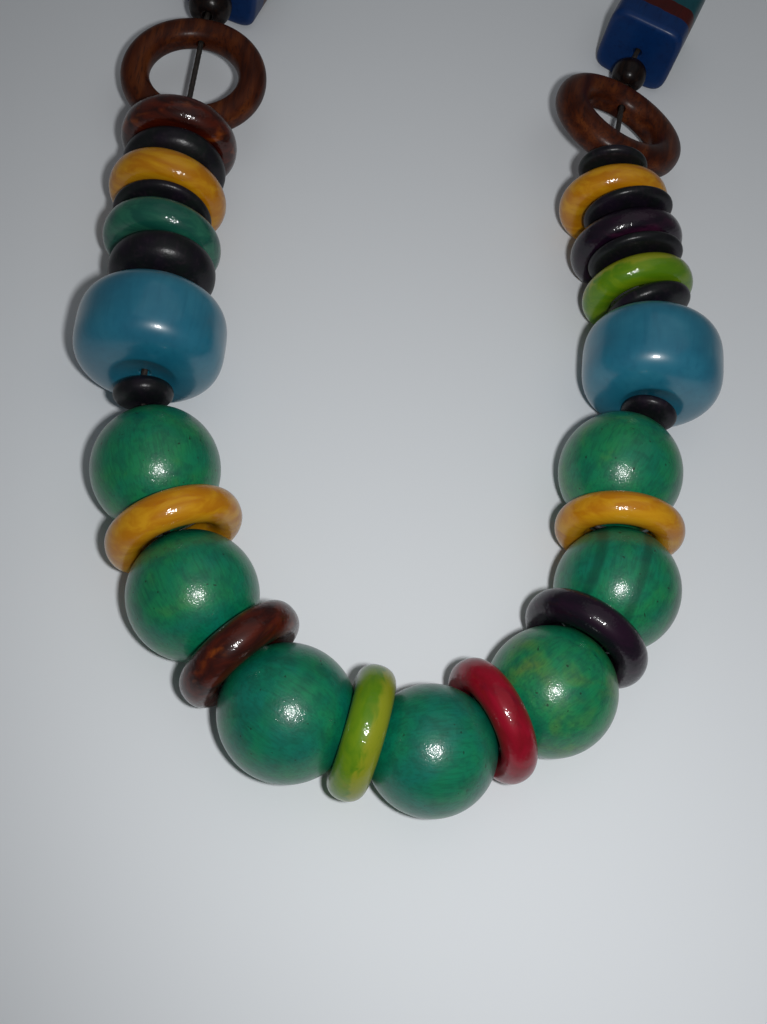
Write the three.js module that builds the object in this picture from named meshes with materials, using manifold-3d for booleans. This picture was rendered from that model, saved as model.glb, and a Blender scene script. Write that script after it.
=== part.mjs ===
// Beaded necklace: green wooden balls, coloured rings, blue barrels and square
// blocks threaded on one thin cord, which closes in a plain barrel clasp.
// Millimetres, +Z up, lying on the plane z = 0.

import * as THREE from 'three';
import Module from 'manifold-3d';
import { mergeVertices } from 'three/addons/utils/BufferGeometryUtils.js';

const wasm = await Module();
wasm.setup();

// ---------------------------------------------------------------- dimensions

const cordDiameter = 1.3;
const boreDiameter = 2.2;        // hole that the cord runs through
const beadGap = 0.35;            // clear space left between two threaded beads
const ringSectionWidth = 6.4;    // radial width of a ring bead's section
const hoopSection = { hoop_left: 6.5, hoop_right: 7.6 };   // thickness of each hoop's rim
const blockCorner = 2.2;         // radius of a block bead's long edges
const blockEndRound = 1.2;       // rounding at a block bead's two ends

const dimple = { across: 13.2, depth: 1.6 };   // round hollow in each end of a barrel bead

const clasp = { length: 16, diameter: 6, fullness: 3 };

// Facets round each kind of bead, and along its profile.
const facets = {
  ball: { round: 20, profile: 10 },
  barrel: { round: 22, profile: 10 },
  disc: { round: 18, profile: 6 },
  spacer: { round: 12, profile: 6 },
  ring: { round: 20, profile: 8 },
  hoop: { round: 28, profile: 8 },
};

// How full each turned bead's outline is: 2 is an ellipse, more is squarer.
const fullness = { ball: 2, barrel: 3.3, disc: 2.4, spacer: 2.2 };

// The strand, threaded from the back left round the front to the back right.
// across:  diameter, or a block's side
// thick:   length along the cord
// heading: direction of a bead's bore, or of the strand across a ring, in degrees from +X
// cant:    how far a ring is turned from that heading
// slack:   loose space before the bead, on top of beadGap
const columns = ['name', 'form', 'across', 'thick', 'heading', 'cant', 'slack', 'colour'];
const strand = [
  ['block_left', 'block', 19.2, 24, -111, 0, 0, 0x1f4f9a],
  ['spacer_left_back', 'spacer', 10.2, 9, -98, 0, 2.6, 0x1c1512],
  ['hoop_left', 'hoop', 33.2, 33.2, -95, 0, 2.4, 0x5a2a18],
  ['ring_brown_left', 'ring', 25.4, 7.2, -95, -2, 3.3, 0x4a1c0c],
  ['disc_left_1', 'disc', 22.5, 8.4, -95, 0, 0.4, 0x17141a],
  ['ring_yellow_left', 'ring', 25.4, 7.2, -96, -5, 1, 0xb0851c],
  ['disc_left_2', 'disc', 21, 4.2, -95, 0, 1.2, 0x17141a],
  ['ring_green_left', 'ring', 25, 7.2, -86, -12, 0.9, 0x1f6b4a],
  ['disc_left_3', 'disc', 22, 10.6, -92, 0, 1.7, 0x17141a],
  ['barrel_left', 'barrel', 30.6, 19.8, -94, 0, 1.6, 0x1f6f8c],
  ['spacer_left_front', 'spacer', 11.8, 5.6, -85, 0, 1.4, 0x17141a],
  ['ball_1', 'ball', 25.1, 25.1, -75, 0, 0, 0x1e7a4c],
  ['ring_yellow_1', 'ring', 26.4, 7.2, -71, 3, 0.9, 0xb0851c],
  ['ball_2', 'ball', 24.7, 24.7, -61, 0, 0.7, 0x1e7a4c],
  ['ring_brown', 'ring', 25.4, 7.2, -50, 1, 1.4, 0x4a1c0c],
  ['ball_3', 'ball', 25.3, 25.3, -32, 0, 0.5, 0x1e7a4c],
  ['ring_lime', 'ring', 25, 7.2, -12, -2, 0.3, 0x7d8c1e],
  ['ball_4', 'ball', 24.3, 24.3, 7, 0, 0.3, 0x1e7a4c],
  ['ring_red', 'ring', 24.6, 6.6, 28, 0, 0.1, 0x8c0f24],
  ['ball_5', 'ball', 24.9, 24.9, 42, 0, 0.1, 0x1e7a4c],
  ['ring_purple', 'ring', 25.4, 6.6, 56, 0, 0.2, 0x281524],
  ['ball_6', 'ball', 24.9, 24.9, 71, 0, 0.2, 0x1e7a4c],
  ['ring_yellow_2', 'ring', 25.8, 6.4, 84, -1, 0.3, 0xb0851c],
  ['ball_7', 'ball', 25.4, 25.4, 62, 0, 0.3, 0x1e7a4c],
  ['spacer_right_front', 'spacer', 11.6, 4.2, 73, 0, 0, 0x17141a],
  ['barrel_right', 'barrel', 29.6, 20.6, 83, 0, 0.8, 0x1f6f8c],
  ['disc_right_1', 'disc', 18.6, 6, 105, 0, 2.5, 0x17141a],
  ['ring_lime_right', 'ring', 24.8, 6.6, 101, 0, 0.6, 0x7d8c1e],
  ['disc_right_2', 'disc', 21, 4.6, 98, 0, 1.1, 0x17141a],
  ['ring_purple_right', 'ring', 25.4, 6.6, 95, 6, 0.6, 0x281524],
  ['disc_right_3', 'disc', 20, 4.4, 97, 0, 1.4, 0x17141a],
  ['ring_yellow_right', 'ring', 25, 6.8, 104, -11, 1, 0xb0851c],
  ['disc_right_4', 'disc', 15.6, 4, 88, 0, 2.3, 0x17141a],
  ['hoop_right', 'hoop', 33.4, 33.4, 74, 0, 0.1, 0x5a2a18],
  ['spacer_right_back', 'spacer', 8.4, 8, 75, 0, 1.2, 0x1c1512],
  ['block_right', 'block', 19.2, 24, 65, 0, 2.7, 0x1f4f9a],
].map((row) => Object.fromEntries(columns.map((column, i) => [column, row[i]])));

const strandStart = { x: -7.3, y: 250.4 };   // middle of the left block bead

// Most beads lie level at half their own height. These don't: the height of their
// middle, how far their bore tips up along the strand and how far they are rolled
// about the cord, in degrees. The hoops are held up by the taut cord.
const poses = {
  hoop_left: { height: 11.3, tip: 0, roll: 3 },
  ball_1: { tip: -9 },
  ball_7: { tip: 9 },
  hoop_right: { height: 12.8, tip: -19, roll: 12 },
};

// The bare cord's way round the back, from the right block to the left one.
const backRoute = [
  [108, 269, 4.5],
  [119, 300, 0.8],
  [108, 335, 0.8],
  [76, 357, 2],
  [56, 360, 3],
  [37, 353, 2],
  [8, 326, 0.8],
  [-6, 292, 0.8],
  [-5, 272, 4.5],
];

// ------------------------------------------------------------------- helpers

const up = new THREE.Vector3(0, 0, 1);
const radians = THREE.MathUtils.degToRad;

// A solid turned on the Y axis from a closed outline of [radius, along] pairs.
function turned(outline, round) {
  const points = [...outline, outline[0]].map(([radius, along]) => new THREE.Vector2(radius, along));
  return new THREE.LatheGeometry(points, round);
}

// Half of a superellipse bead's length at a given distance from its axis.
function superellipse(radius, halfAcross, halfThick, power) {
  return halfThick * (1 - (radius / halfAcross) ** power) ** (1 / power);
}

// Half of a bead's length at a given distance from the cord, or -Infinity
// where the bead has no material.
function halfLength(bead, radius) {
  const halfAcross = bead.across / 2;
  if (radius > halfAcross) return -Infinity;
  if (bead.form === 'block') return bead.thick / 2;
  if (bead.form === 'hoop') return Math.sqrt(halfAcross ** 2 - radius ** 2);
  if (bead.form === 'ring') {
    const fromMiddle = (radius - (halfAcross - ringSectionWidth / 2)) / (ringSectionWidth / 2);
    return Math.abs(fromMiddle) > 1 ? -Infinity : superellipse(fromMiddle, 1, bead.thick / 2, 2);
  }
  return superellipse(radius, halfAcross, bead.thick / 2, fullness[bead.form]) - hollow(bead, radius);
}

// How far a barrel's end is hollowed out at a given distance from the cord.
function hollow(bead, radius) {
  const fromCord = radius / (dimple.across / 2);
  return bead.form === 'barrel' && fromCord < 1 ? dimple.depth * (1 - fromCord ** 2) : 0;
}

// Two threaded beads slide together until they touch somewhere between the cord
// and their rims: this is the distance between their middles.
function contactDistance(bead, next) {
  const reach = Math.min(bead.across, next.across) / 2;
  const steps = 60;
  let distance = 0;
  for (let i = 0; i <= steps; i++) {
    const radius = reach * i / steps;
    distance = Math.max(distance, halfLength(bead, radius) + halfLength(next, radius));
  }
  return distance + beadGap;
}

function direction(heading, climb = 0) {
  const turn = radians(heading);
  return new THREE.Vector3(Math.cos(turn), Math.sin(turn), climb).normalize();
}

// ------------------------------------------------------- where each bead lies

// The strand is walked in plan. Two bored beads that touch turn against each other
// where their ends meet, so a step runs along the first one's bore and then along
// the second one's. A step that reaches or leaves a ring runs along the ring's heading.
const place = new THREE.Vector3(strandStart.x, strandStart.y, 0);
strand.forEach((bead, k) => {
  const last = strand[k - 1];
  if (last) {
    const step = contactDistance(last, bead) + bead.slack;
    const ring = [last, bead].find(({ form }) => form === 'ring');
    const share = last.thick / (last.thick + bead.thick);
    place.addScaledVector(direction((ring ?? last).heading), step * share);
    place.addScaledVector(direction((ring ?? bead).heading), step * (1 - share));
  }
  bead.place = place.clone();
});

// Rings aren't bored: they hang round the cord. Of the threaded beads, discs and
// spacers ride at the cord's own height, and every other one has a height and a tip
// of its own.
const threaded = strand.filter((bead) => bead.form !== 'ring');
const ridingForms = ['disc', 'spacer'];
const rides = (bead) => ridingForms.includes(bead.form);
for (const bead of strand) {
  const pose = poses[bead.name] ?? {};
  bead.place.z = pose.height ?? bead.across / 2;
  bead.direction = direction(bead.heading + bead.cant, Math.tan(radians(pose.tip ?? 0)));
}

// Where the cord enters or leaves a bead, just clear of its end.
const cordStandOff = 0.5;
function cordPoint(bead, side) {
  const reach = bead.thick / 2 + cordStandOff;
  return bead.place.clone().addScaledVector(bead.direction, side * reach);
}

// Between two beads with heights of their own, the cord climbs evenly and takes
// the riding beads with it.
const flatDistance = (a, b) => Math.hypot(b.x - a.x, b.y - a.y);
const fixed = threaded.filter((bead) => !rides(bead));
fixed.slice(1).forEach((to, k) => {
  const from = fixed[k];
  const riding = threaded.slice(threaded.indexOf(from) + 1, threaded.indexOf(to));
  const start = cordPoint(from, 1);
  const end = cordPoint(to, -1);
  const stops = [start, ...riding.map((bead) => bead.place), end];
  const run = stops.slice(1).reduce((sum, stop, i) => sum + flatDistance(stops[i], stop), 0);
  const climb = (end.z - start.z) / run;
  let travelled = 0;
  riding.forEach((bead, i) => {
    travelled += flatDistance(stops[i], bead.place);
    bead.place.z = start.z + climb * travelled;
    bead.direction = direction(bead.heading + bead.cant, climb);
  });
});

// --------------------------------------------------------------------- pieces

const necklace = new THREE.Group();

function addPiece(name, geometry, colour, roughness = 0.4) {
  const material = new THREE.MeshStandardMaterial({ color: colour, roughness, metalness: 0 });
  const mesh = new THREE.Mesh(geometry, material);
  mesh.name = name;
  necklace.add(mesh);
  return mesh;
}

// Turns a piece so that its own Y axis runs along the cord and its Z axis is up,
// then rolls it about the cord.
function thread(mesh, position, along, roll = 0) {
  const side = along.clone().cross(up).normalize();
  const frame = new THREE.Matrix4().makeBasis(side, along, side.clone().cross(along));
  mesh.quaternion.setFromRotationMatrix(frame);
  mesh.rotateY(radians(roll));
  mesh.position.copy(position);
}

// The part of a superellipse bead's outline that lies further than `inside` from the cord.
function outerOutline({ across, thick }, power, profile, inside) {
  const outline = [];
  for (let i = 1; i < profile; i++) {
    const angle = Math.PI * (i / profile - 0.5);
    const radius = across / 2 * Math.cos(angle) ** (2 / power);
    const along = thick / 2 * Math.sign(angle) * Math.abs(Math.sin(angle)) ** (2 / power);
    if (radius > inside) outline.push([radius, along]);
  }
  return outline;
}

// A bead turned about its bore: a superellipse outline between the bore's ends.
function turnedBead(bead, power, { round, profile }) {
  const bore = boreDiameter / 2;
  const end = superellipse(bore, bead.across / 2, bead.thick / 2, power);
  return turned([[bore, -end], ...outerOutline(bead, power, profile, bore), [bore, end]], round);
}

// A barrel: the turned outline from one dimple's rim to the other's, and the dimples.
function barrelGeometry(bead, power, { round, profile }) {
  const rim = dimple.across / 2;
  const dimpleRadii = [boreDiameter / 2, rim * 0.5, rim * 0.75, rim];
  const end = (side) => dimpleRadii.map((radius) => [radius, side * halfLength(bead, radius)]);
  return turned([...end(-1), ...outerOutline(bead, power, profile, rim), ...end(1).reverse()], round);
}

// A ring whose section is an ellipse, turned on the Y axis.
function ringGeometry(across, sectionWidth, sectionHeight, { round, profile }) {
  const middle = (across - sectionWidth) / 2;
  const outline = [];
  for (let i = 0; i < profile; i++) {
    const angle = 2 * Math.PI * i / profile;
    outline.push([middle + sectionWidth / 2 * Math.cos(angle), sectionHeight / 2 * Math.sin(angle)]);
  }
  return turned(outline, round);
}

function toManifold(geometry) {
  const bare = geometry.clone().deleteAttribute('normal').deleteAttribute('uv');
  const merged = mergeVertices(bare, 1e-4);
  return new wasm.Manifold(new wasm.Mesh({
    numProp: 3,
    vertProperties: Float32Array.from(merged.attributes.position.array),
    triVerts: Uint32Array.from(merged.index.array),
  }));
}

function fromManifold(solid) {
  const mesh = solid.getMesh();
  const geometry = new THREE.BufferGeometry();
  geometry.setAttribute('position', new THREE.BufferAttribute(mesh.vertProperties, 3));
  geometry.setIndex(new THREE.BufferAttribute(mesh.triVerts, 1));
  return geometry;
}

// Drills the cord's bore right through a piece, along Y.
function drilled(geometry, length) {
  const drill = new THREE.CylinderGeometry(boreDiameter / 2, boreDiameter / 2, length, 10);
  return fromManifold(toManifold(geometry).subtract(toManifold(drill)));
}

function hoopGeometry({ name, across }) {
  const flatRing = ringGeometry(across, hoopSection[name], hoopSection[name], facets.hoop);
  return drilled(flatRing.rotateX(Math.PI / 2), across + 2);
}

// A square bar with rounded edges and ends, its length along Y.
function blockGeometry({ across, thick }) {
  const half = across / 2 - blockEndRound;
  const inner = half - blockCorner;
  const section = new THREE.Shape();
  section.moveTo(half, -inner);
  section.absarc(inner, inner, blockCorner, 0, Math.PI / 2);
  section.absarc(-inner, inner, blockCorner, Math.PI / 2, Math.PI);
  section.absarc(-inner, -inner, blockCorner, Math.PI, Math.PI * 1.5);
  section.absarc(inner, -inner, blockCorner, Math.PI * 1.5, Math.PI * 2);
  const bar = new THREE.ExtrudeGeometry(section, {
    depth: thick - 2 * blockEndRound,
    bevelThickness: blockEndRound,
    bevelSize: blockEndRound,
    bevelSegments: 2,
    curveSegments: 3,
  });
  bar.translate(0, 0, -(thick / 2 - blockEndRound)).rotateX(-Math.PI / 2);
  return drilled(bar, thick + 2);
}

function beadGeometry(bead) {
  if (bead.form === 'block') return blockGeometry(bead);
  if (bead.form === 'hoop') return hoopGeometry(bead);
  if (bead.form === 'ring') return ringGeometry(bead.across, ringSectionWidth, bead.thick, facets.ring);
  if (bead.form === 'barrel') return barrelGeometry(bead, fullness.barrel, facets.barrel);
  return turnedBead(bead, fullness[bead.form], facets[bead.form]);
}

for (const bead of strand) {
  const mesh = addPiece(bead.name, beadGeometry(bead), bead.colour);
  thread(mesh, bead.place, bead.direction, poses[bead.name]?.roll ?? 0);
}

// ----------------------------------------------------------------- the cord

// Straight through every bored bead. Where two of them touch, the cord turns in
// the middle of the gap, and otherwise at each bead's end.
const touching = 2;
const through = [cordPoint(threaded[0], -1)];
threaded.slice(1).forEach((bead, i) => {
  const leaving = cordPoint(threaded[i], 1);
  const entering = cordPoint(bead, -1);
  const turns = leaving.distanceTo(entering) > touching ? [leaving, entering] : [leaving.lerp(entering, 0.5)];
  through.push(...turns);
});
through.push(cordPoint(threaded.at(-1), 1));

// The bare stretch: a smooth curve from the right block round to the left one.
const backStep = 6;
const back = new THREE.CatmullRomCurve3([
  cordPoint(strand.at(-1), 1),
  ...backRoute.map((point) => new THREE.Vector3(...point)),
  cordPoint(strand[0], -1),
], false, 'centripetal');
const backPoints = back.getSpacedPoints(Math.round(back.getLength() / backStep));
for (const point of backPoints) point.z = Math.max(point.z, cordDiameter / 2);
const middle = Math.floor(backPoints.length / 2);

// The clasp sits half way round, straight between two steps of the cord.
const claspPlace = backPoints[middle].clone().setZ(clasp.diameter / 2);
const claspDirection = backPoints[middle + 1].clone().sub(backPoints[middle - 1]).setZ(0).normalize();
const claspBead = { across: clasp.diameter, thick: clasp.length };
const claspMesh = addPiece('clasp', turnedBead(claspBead, clasp.fullness, facets.spacer), 0x202020);
thread(claspMesh, claspPlace, claspDirection);

const insideClasp = 1;          // how far each cord end stops from the clasp's middle
const clearOfClasp = 1;         // straight cord left outside each end of the clasp
const claspEnd = clasp.length / 2 + clearOfClasp;
const claspPoint = (along) => claspPlace.clone().addScaledVector(claspDirection, along);
const clear = (point) => point.distanceTo(claspPlace) > claspEnd + clearOfClasp;
const cordRoute = [
  claspPoint(insideClasp), claspPoint(claspEnd),
  ...backPoints.slice(middle + 1, -1).filter(clear),
  ...through,
  ...backPoints.slice(1, middle).filter(clear),
  claspPoint(-claspEnd), claspPoint(-insideClasp),
];

// A path that keeps its corners: the tube has one section at every point.
class CordPath extends THREE.Curve {
  constructor(points) {
    super();
    this.points = points;
  }
  getPointAt(t, target = new THREE.Vector3()) {
    return target.copy(this.points[Math.round(t * (this.points.length - 1))]);
  }
  getTangentAt(t, target = new THREE.Vector3()) {
    const i = Math.round(t * (this.points.length - 1));
    const before = this.points[Math.max(i - 1, 0)];
    const after = this.points[Math.min(i + 1, this.points.length - 1)];
    return target.copy(after).sub(before).normalize();
  }
  getPoint(t, target) {
    return this.getPointAt(t, target);
  }
  getTangent(t, target) {
    return this.getTangentAt(t, target);
  }
}

const cordSection = new THREE.Shape().absarc(0, 0, cordDiameter / 2, 0, 2 * Math.PI);
addPiece('cord', new THREE.ExtrudeGeometry(cordSection, {
  steps: cordRoute.length - 1,
  curveSegments: 4,
  extrudePath: new CordPath(cordRoute),
}), 0x101012, 0.8);

// Origin at the middle of the necklace's box, on the surface that it lies on.
necklace.updateMatrixWorld(true);
const box = new THREE.Box3().setFromObject(necklace, true);
const centre = box.getCenter(new THREE.Vector3());
necklace.position.set(-centre.x, -centre.y, -box.min.z);

export default necklace;
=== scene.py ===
# %% [markdown]
# A beaded necklace of dyed, lacquered wooden beads on one thin waxed cord, lying in a
# loop on a pale table. Seven green balls hang at the front with coloured rings between
# them. Up each side come a blue barrel, dark discs with rings, an open hoop and a square
# block, and a bare cord with a small barrel clasp closes the loop at the back.
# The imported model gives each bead's place. Here every bead gets a smooth surface of its
# own and a lacquered finish. Sizes are in millimetres, and a mesh is made in metres.

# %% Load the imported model
import math

import bpy
import numpy as np
from mathutils import Matrix, Vector


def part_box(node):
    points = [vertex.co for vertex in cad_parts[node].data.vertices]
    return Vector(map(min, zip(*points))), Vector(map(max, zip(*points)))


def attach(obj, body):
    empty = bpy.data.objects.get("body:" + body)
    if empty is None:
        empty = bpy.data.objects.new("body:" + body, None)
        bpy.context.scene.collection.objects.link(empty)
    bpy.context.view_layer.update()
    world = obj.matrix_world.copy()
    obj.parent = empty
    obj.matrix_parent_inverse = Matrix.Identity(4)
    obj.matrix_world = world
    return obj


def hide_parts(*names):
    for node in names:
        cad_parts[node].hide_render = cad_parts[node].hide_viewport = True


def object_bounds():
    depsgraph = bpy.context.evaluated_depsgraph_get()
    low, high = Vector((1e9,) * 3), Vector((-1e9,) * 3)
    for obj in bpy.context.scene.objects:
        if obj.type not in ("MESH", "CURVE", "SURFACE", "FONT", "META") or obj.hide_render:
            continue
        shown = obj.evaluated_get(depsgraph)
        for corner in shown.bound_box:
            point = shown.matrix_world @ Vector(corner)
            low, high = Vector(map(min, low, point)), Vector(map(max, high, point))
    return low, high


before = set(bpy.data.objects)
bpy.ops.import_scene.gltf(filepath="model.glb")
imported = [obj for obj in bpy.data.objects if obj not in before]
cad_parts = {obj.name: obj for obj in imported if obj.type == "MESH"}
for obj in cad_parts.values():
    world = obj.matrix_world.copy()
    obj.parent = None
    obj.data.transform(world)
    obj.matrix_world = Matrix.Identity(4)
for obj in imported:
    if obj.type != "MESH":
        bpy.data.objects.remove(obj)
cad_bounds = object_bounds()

mm = 0.001
random = np.random.default_rng(36)
print("CAD pieces:", len(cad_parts))

# %% [markdown]
# Each bead's own axes are measured from its CAD solid. A turned bead is alike all round
# its axis, so of the three second moments of its volume two are equal, and the third
# belongs to the axis it was turned on. A hoop is also drilled across, and the wood gone
# from there makes the moment along the cord the smaller of its two near-equal ones. The
# angles could be copied over as numbers, but measured ones keep the fine beads on the
# coarse ones if the model changes.

# %% Beads in the order they are threaded
strand = [
    "block_left", "spacer_left_back", "hoop_left", "ring_brown_left", "disc_left_1",
    "ring_yellow_left", "disc_left_2", "ring_green_left", "disc_left_3", "barrel_left",
    "spacer_left_front", "ball_1", "ring_yellow_1", "ball_2", "ring_brown", "ball_3",
    "ring_lime", "ball_4", "ring_red", "ball_5", "ring_purple", "ball_6", "ring_yellow_2",
    "ball_7", "spacer_right_front", "barrel_right", "disc_right_1", "ring_lime_right",
    "disc_right_2", "ring_purple_right", "disc_right_3", "ring_yellow_right",
    "disc_right_4", "hoop_right", "spacer_right_back", "block_right",
]
print("beads on the strand:", len(strand))


# %% Read a CAD solid
def solid_mesh(name):
    """The corner points of a CAD node in millimetres, and its triangles' numbers."""
    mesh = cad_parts[name].data
    mesh.calc_loop_triangles()
    points = np.empty(3 * len(mesh.vertices))
    mesh.vertices.foreach_get("co", points)
    triangles = np.empty(3 * len(mesh.loop_triangles), dtype=np.int32)
    mesh.loop_triangles.foreach_get("vertices", triangles)
    return points.reshape(-1, 3) / mm, triangles.reshape(-1, 3)


def signed_volumes(points, triangles):
    """The volume of the wedge from the origin to each triangle: a . (b x c) / 6."""
    a, b, c = (points[triangles[:, k]] for k in range(3))
    return np.einsum("ij,ij->i", a, np.cross(b, c)) / 6


def solid_moments(points, triangles):
    """Centre of volume, and the second moments about it with their directions.

    A wedge with corners 0, a, b, c and volume v adds v (a+b+c) / 4 to the centre and
    v (aa + bb + cc + ss) / 20 to the moments, where s = a+b+c and aa is a times a.
    """
    wedge = signed_volumes(points, triangles)
    middle = points[triangles].sum(axis=1) / 4
    centre = (wedge[:, None] * middle).sum(axis=0) / wedge.sum()
    corners = points[triangles] - centre
    wedge = signed_volumes(points - centre, triangles)
    terms = np.concatenate([corners, corners.sum(axis=1, keepdims=True)], axis=1)
    moments = np.einsum("t,tkx,tky->xy", wedge, terms, terms) / (20 * wedge.sum())
    sizes, directions = np.linalg.eigh(moments)
    return centre, sizes, directions.T


# %% Measure every bead
up = np.array([0.0, 0.0, 1.0])


def unit(vector):
    """A vector, or rows of them, at length 1."""
    return vector / np.linalg.norm(vector, axis=-1, keepdims=True)


class Bead:
    """Where a bead lies and how big it is, in millimetres.

    axes holds its side, along and top directions as rows, and along follows the cord.
    onward is the way the strand goes through it.
    """

    def __init__(self, name, points, triangles):
        self.name = name
        self.form = name.split("_")[0]
        self.centre, sizes, directions = solid_moments(points, triangles)
        odd = 0 if sizes[1] - sizes[0] > sizes[2] - sizes[1] else 2
        self.turning_axis = directions[odd]
        self.cord_axis = directions[1] if self.form == "hoop" else directions[odd]
        from_centre = points - self.centre
        along = from_centre @ self.turning_axis
        from_axis = from_centre - np.outer(along, self.turning_axis)
        self.thick = np.ptp(along)
        self.across = 2 * np.linalg.norm(from_axis, axis=1).max()

    def face(self, heading):
        """Points along the cord, on the side of heading, and sets the axes."""
        along = self.cord_axis * np.sign(self.cord_axis @ heading)
        side = unit(np.cross(along, self.turning_axis if self.form == "hoop" else up))
        self.axes = np.array([side, along, np.cross(side, along)])


beads = {name: Bead(name, *solid_mesh(name)) for name in strand}
centres = np.array([beads[name].centre for name in strand])
for name, heading in zip(strand, np.gradient(centres, axis=0)):
    beads[name].face(heading)
    beads[name].onward = beads[name].axes[1]

# The left block's along axis points to the front of the necklace. The right one's is
# turned round to do the same, so that both are painted from their front ends.
beads["block_right"].face(-beads["block_right"].onward)
for name in ("ball_1", "barrel_left", "hoop_left", "ring_red"):
    print(name, "thick", beads[name].thick.round(2), "across", beads[name].across.round(2))

# %% [markdown]
# The camera looks down at the front of the necklace from about 23 cm above the table,
# turned and rolled a little. It stands straight in front of the left block, and its place
# is given from that block, so that both move together. Two directions, its right and its
# up, say how it is turned: they are easier to check than three angles.

# %% Camera
camera_from_block = np.array([-0.54, -260.25])
camera_height = 234.1
camera_right = Vector((0.98693, 0.0001, 0.16113))
camera_up = Vector((-0.07087, 0.89825, 0.43373))
camera_data = bpy.data.cameras.new("camera")
camera_data.lens = 44.86
camera = bpy.data.objects.new("camera", camera_data)
bpy.context.scene.collection.objects.link(camera)
camera_back = camera_right.cross(camera_up).normalized()
camera_top = camera_back.cross(camera_right)
turn = np.array([camera_right.normalized(), camera_top, camera_back]).T
camera_place = np.append(beads["block_left"].centre[:2] + camera_from_block, camera_height)
camera.matrix_world = Matrix.LocRotScale(camera_place * mm, Matrix(turn), None)
bpy.context.scene.camera = camera
print("camera at", np.round(camera_place, 1))

# %% [markdown]
# All the beads are closed surfaces without poles, because each has a hole for the cord:
# a closed outline carried round the bead joins up with itself both ways, like a tyre.
# So one grid of points, wrapped in both directions, makes the mesh of any of them. A
# primitive with a hole cut through it would leave poles and a ragged edge.


# %% Wrap a grid of points into a mesh
def skin(name, points, quads, triangles=np.empty((0, 3), dtype=np.int32)):
    """A smooth mesh object from points in millimetres, with its faces pointing out."""
    split = np.concatenate([quads[:, [0, 1, 2]], quads[:, [0, 2, 3]], triangles])
    if signed_volumes(points, split).sum() < 0:
        quads, triangles = quads[:, ::-1], triangles[:, ::-1]
    mesh = bpy.data.meshes.new(name)
    mesh.vertices.add(len(points))
    mesh.vertices.foreach_set("co", (points * mm).ravel())
    corners = np.concatenate([quads.ravel(), triangles.ravel()])
    mesh.loops.add(len(corners))
    mesh.loops.foreach_set("vertex_index", corners)
    sides = np.repeat([4, 3], [len(quads), len(triangles)])
    mesh.polygons.add(len(sides))
    mesh.polygons.foreach_set("loop_start", np.cumsum(sides) - sides)
    mesh.polygons.foreach_set("use_smooth", np.ones(len(sides), dtype=bool))
    mesh.update(calc_edges=True)
    piece = bpy.data.objects.new(name, mesh)
    bpy.context.scene.collection.objects.link(piece)
    return piece


def wrapped_quads(rows, columns):
    """The four corner numbers of each cell of a grid that closes on itself both ways."""
    number = np.arange(rows * columns).reshape(rows, columns)
    across = np.roll(number, -1, axis=1)
    corners = [number, across, np.roll(across, -1, axis=0), np.roll(number, -1, axis=0)]
    return np.stack(corners, axis=-1).reshape(-1, 4)


def placed(bead, side, along, top):
    """Points given on the bead's own axes, put where the bead lies."""
    return bead.centre + np.stack([side, along, top], axis=-1) @ bead.axes


# %% [markdown]
# Balls, barrels, discs and the small beads are turned on a lathe and bored, so the outline
# is theirs alone: a superellipse from one end of the bore to the other. The power says how
# full it is, 2 for a ball and more for a barrel with square shoulders. A barrel's ends are
# dished where the small bead sits. The mouth of each bore is eased, as sanding leaves it,
# and no bead is quite round, which breaks up the gleam on it.

# %% Outline of a bored bead
bore = 1.1
lip = 0.45
lip_rows = 6
wall_rows = 6
fine_steps = 1500
dish_rim = 6.6
dish_softness = 0.006
dish_depth = {"barrel": 1.6}
fullness = {"ball": 2.0, "barrel": 3.3, "disc": 2.4, "spacer": 2.2, "clasp": 3.0}


def spread(points, count):
    """The same line with count points at even distances along it."""
    steps = np.linalg.norm(np.diff(points, axis=0), axis=1)
    travelled = np.concatenate([[0], np.cumsum(steps)])
    even = np.linspace(0, travelled[-1], count)
    return np.stack([np.interp(even, travelled, column) for column in points.T], axis=1)


def full_length(form, across, thick):
    """The length a bored bead would have without its bore or dishes.

    Its measured length, 2a, is only that at the bore's mouth or at the dish's rim, r. The
    superellipse of radius R that passes there has the half length a / (1 - (r/R)^n)^(1/n).
    """
    edge = dish_rim if form in dish_depth else bore
    return thick / (1 - (2 * edge / across) ** fullness[form]) ** (1 / fullness[form])


def bored_outline(form, across, thick, count):
    """[distance from the cord, place along it] all round a bored bead's section.

    The outside is r = R cos(t)^(2/n), a = T sin(t)^(2/n) for t from -90 to 90 degrees.
    A dish takes depth (x + sqrt(x^2 + softness)) / 2 off its ends, with x = 1 - (r/rim)^2,
    which is a bowl with a soft rim. Quarter circles lead into the bore's straight wall.
    """
    power = fullness[form]
    depth = dish_depth.get(form, 0)
    half = full_length(form, across, thick) / 2
    t = np.linspace(0, np.pi / 2, fine_steps)
    radius = across / 2 * np.cos(t).clip(0) ** (2 / power)
    inward = 1 - (radius / dish_rim) ** 2
    along = half * np.sin(t) ** (2 / power)
    along -= depth * (inward + np.sqrt(inward ** 2 + dish_softness)) / 2
    outside = radius > bore + lip
    half_outline = spread(np.stack([radius, along], axis=1)[outside], count // 2)
    end = half_outline[-1]
    quarter = np.linspace(0, np.pi / 2, lip_rows)[1:, None]
    mouth = end - lip * np.concatenate([np.sin(quarter), 1 - np.cos(quarter)], axis=1)
    wall = np.linspace([bore, mouth[-1, 1]], [bore, 0], wall_rows)[1:]
    top = np.concatenate([half_outline[1:], mouth, wall])
    bottom = top[:-1][::-1] * [1, -1]
    return np.concatenate([half_outline[:1], top, bottom])


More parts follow.
